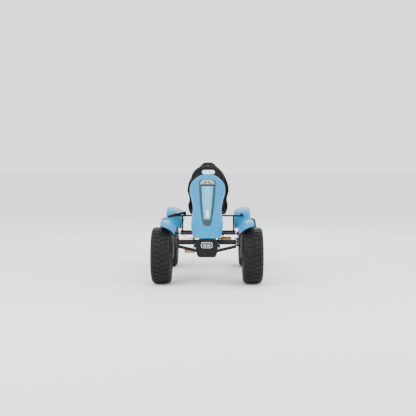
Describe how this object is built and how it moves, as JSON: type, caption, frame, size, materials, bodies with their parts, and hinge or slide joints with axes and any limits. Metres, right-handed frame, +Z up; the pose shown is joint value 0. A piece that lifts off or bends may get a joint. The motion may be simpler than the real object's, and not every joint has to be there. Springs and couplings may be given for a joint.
{
  "type": "pedal go kart",
  "caption": "Chain-driven pedal go kart with wide pneumatic tyres, a swinging steered front axle, a leaning nose cone, fenders, a bucket seat and a hand brake.",
  "frame": {"origin": "on the floor, under the middle of the kart's bounding box", "axes": "+Z up; the kart faces -Y; +X is the kart's left side"},
  "size_m": [0.904, 1.61, 0.9866],
  "materials": {
    "frame_paint": "black powder coat, fine orange peel, chipped at the welds",
    "axle_grey": "silver-grey satin paint",
    "zinc": "bright zinc plate",
    "chain_steel": "oiled dark steel",
    "sky_plastic": "sky blue moulded plastic, semi-gloss",
    "panel_plastic": "grey surround with a pale blue insert",
    "black_plastic": "black moulded plastic with a fine grain",
    "seat_plastic": "black blow-moulded plastic with a leathery grain",
    "tyre_rubber": "black rubber with a blocky tread",
    "rim_paint": "silver painted pressed steel",
    "grip_rubber": "soft black rubber",
    "reflector": "amber prismatic reflector"
  },
  "bodies": {
    "frame": {"main_frame": "frame_paint", "rear_frame": "frame_paint", "frame_fasteners": "zinc", "nose_cone": "sky_plastic", "nose_panel": "panel_plastic", "front_cover": "black_plastic", "chain_guard_outer": "black_plastic", "chain_guard_inner": "black_plastic", "drive_chain": "chain_steel", "rear_fender_left": "sky_plastic", "rear_fender_right": "sky_plastic", "fender_bar": "frame_paint", "brake_cable": "grip_rubber", "brake_band": "chain_steel", "frame_bearings": "zinc", "column_bushes": "black_plastic", "axle_pivot_bolt": "zinc"},
    "front_axle": {"front_axle": "frame_paint", "kingpins": "zinc"},
    "knuckle_left": {"knuckle_left": "axle_grey", "front_fender_left": "sky_plastic", "fender_stay_left": "axle_grey"},
    "knuckle_right": {"knuckle_right": "axle_grey", "front_fender_right": "sky_plastic", "fender_stay_right": "axle_grey"},
    "tie_rod_left": {"tie_rod_left": "frame_paint"},
    "tie_rod_right": {"tie_rod_right": "frame_paint"},
    "front_wheel_left": {"front_tyre_left": "tyre_rubber", "front_rim_left": "rim_paint", "front_bearings_left": "zinc", "front_hub_cap_left": "black_plastic"},
    "front_wheel_right": {"front_tyre_right": "tyre_rubber", "front_rim_right": "rim_paint", "front_bearings_right": "zinc", "front_hub_cap_right": "black_plastic"},
    "steering": {"steering_column": "frame_paint", "steering_wheel": "grip_rubber", "steering_pad": "black_plastic"},
    "lower_shaft": {"steering_lower_shaft": "frame_paint"},
    "rear_axle": {"rear_axle_shaft": "zinc", "rear_sprocket": "chain_steel", "brake_drum": "zinc", "rear_tyre_left": "tyre_rubber", "rear_rim_left": "rim_paint", "rear_hub_cap_left": "black_plastic"},
    "rear_wheel_right": {"rear_tyre_right": "tyre_rubber", "rear_rim_right": "rim_paint", "rear_bearings_right": "zinc", "rear_hub_cap_right": "black_plastic"},
    "crank": {"crank_arms": "frame_paint", "chainring": "chain_steel"},
    "pedal_left": {"pedal_left": "black_plastic", "pedal_reflectors_left": "reflector"},
    "pedal_right": {"pedal_right": "black_plastic", "pedal_reflectors_right": "reflector"},
    "seat": {"seat_shell": "seat_plastic", "seat_slider": "frame_paint"},
    "seat_clamp": {"seat_clamp_lever": "black_plastic"},
    "handbrake": {"handbrake_lever": "frame_paint", "handbrake_grip": "grip_rubber"}
  },
  "joints": [
    {"name": "axle_swing", "type": "hinge", "parent": "frame", "child": "front_axle", "pos_m": [0, -0.54, 0.338], "axis": [0, 1, 0], "range_deg": [-5, 5]},
    {"name": "steering_turn", "type": "hinge", "parent": "frame", "child": "steering", "pos_m": [0, -0.06, 0.843], "axis": [0, 0.809, 0.5878], "range_deg": [-30, 30]},
    {"name": "lower_shaft_turn", "type": "hinge", "parent": "frame", "child": "lower_shaft", "pos_m": [0, -0.51637, 0.42208], "axis": [0, 0.4067, 0.9135], "range_deg": [-31, 31]},
    {"name": "steer_left", "type": "hinge", "parent": "front_axle", "child": "knuckle_left", "pos_m": [0.255, -0.54, 0.338], "axis": [0, 0, 1], "range_deg": [-21, 21]},
    {"name": "tie_rod_left_turn", "type": "hinge", "parent": "knuckle_left", "child": "tie_rod_left", "pos_m": [0.25, -0.478, 0.405], "axis": [0, 0, 1], "range_deg": [-21, 21]},
    {"name": "front_wheel_left_spin", "type": "hinge", "parent": "knuckle_left", "child": "front_wheel_left", "pos_m": [0.3695, -0.54, 0.23], "axis": [1, 0, 0], "continuous": true},
    {"name": "steer_right", "type": "hinge", "parent": "front_axle", "child": "knuckle_right", "pos_m": [-0.255, -0.54, 0.338], "axis": [0, 0, 1], "range_deg": [-21, 21]},
    {"name": "tie_rod_right_turn", "type": "hinge", "parent": "knuckle_right", "child": "tie_rod_right", "pos_m": [-0.25, -0.478, 0.405], "axis": [0, 0, 1], "range_deg": [-21, 21]},
    {"name": "front_wheel_right_spin", "type": "hinge", "parent": "knuckle_right", "child": "front_wheel_right", "pos_m": [-0.3695, -0.54, 0.23], "axis": [1, 0, 0], "continuous": true},
    {"name": "rear_axle_spin", "type": "hinge", "parent": "frame", "child": "rear_axle", "pos_m": [0, 0.54, 0.23], "axis": [1, 0, 0], "continuous": true, "deforming": ["drive_chain"]},
    {"name": "rear_wheel_right_spin", "type": "hinge", "parent": "frame", "child": "rear_wheel_right", "pos_m": [-0.3695, 0.54, 0.23], "axis": [1, 0, 0], "continuous": true},
    {"name": "crank_spin", "type": "hinge", "parent": "frame", "child": "crank", "pos_m": [0, -0.23, 0.282], "axis": [1, 0, 0], "continuous": true},
    {"name": "pedal_left_spin", "type": "hinge", "parent": "crank", "child": "pedal_left", "pos_m": [0.156, -0.35361, 0.34773], "axis": [1, 0, 0], "continuous": true},
    {"name": "pedal_right_spin", "type": "hinge", "parent": "crank", "child": "pedal_right", "pos_m": [-0.156, -0.10639, 0.21627], "axis": [1, 0, 0], "continuous": true},
    {"name": "seat_slide", "type": "slide", "parent": "frame", "child": "seat", "axis": [0, 1, 0], "range_m": [-0.06, 0.06]},
    {"name": "seat_clamp_turn", "type": "hinge", "parent": "seat", "child": "seat_clamp", "pos_m": [0.0384, 0.175, 0.452], "axis": [1, 0, 0], "range_deg": [-45, 0]},
    {"name": "handbrake_pull", "type": "hinge", "parent": "frame", "child": "handbrake", "pos_m": [-0.222, 0.248, 0.526], "axis": [-0.7353, 0.6778, 0], "range_deg": [0, 35]}
  ],
  "couplings": [
    {"joint": "lower_shaft_turn", "follows": "steering_turn", "ratio": 1},
    {"joint": "steer_left", "follows": "steering_turn", "ratio": 0.66667},
    {"joint": "steer_right", "follows": "steering_turn", "ratio": 0.66667},
    {"joint": "tie_rod_left_turn", "follows": "steering_turn", "ratio": -0.66667},
    {"joint": "tie_rod_right_turn", "follows": "steering_turn", "ratio": -0.66667},
    {"joint": "crank_spin", "follows": "rear_axle_spin", "ratio": 0.42105}
  ]
}
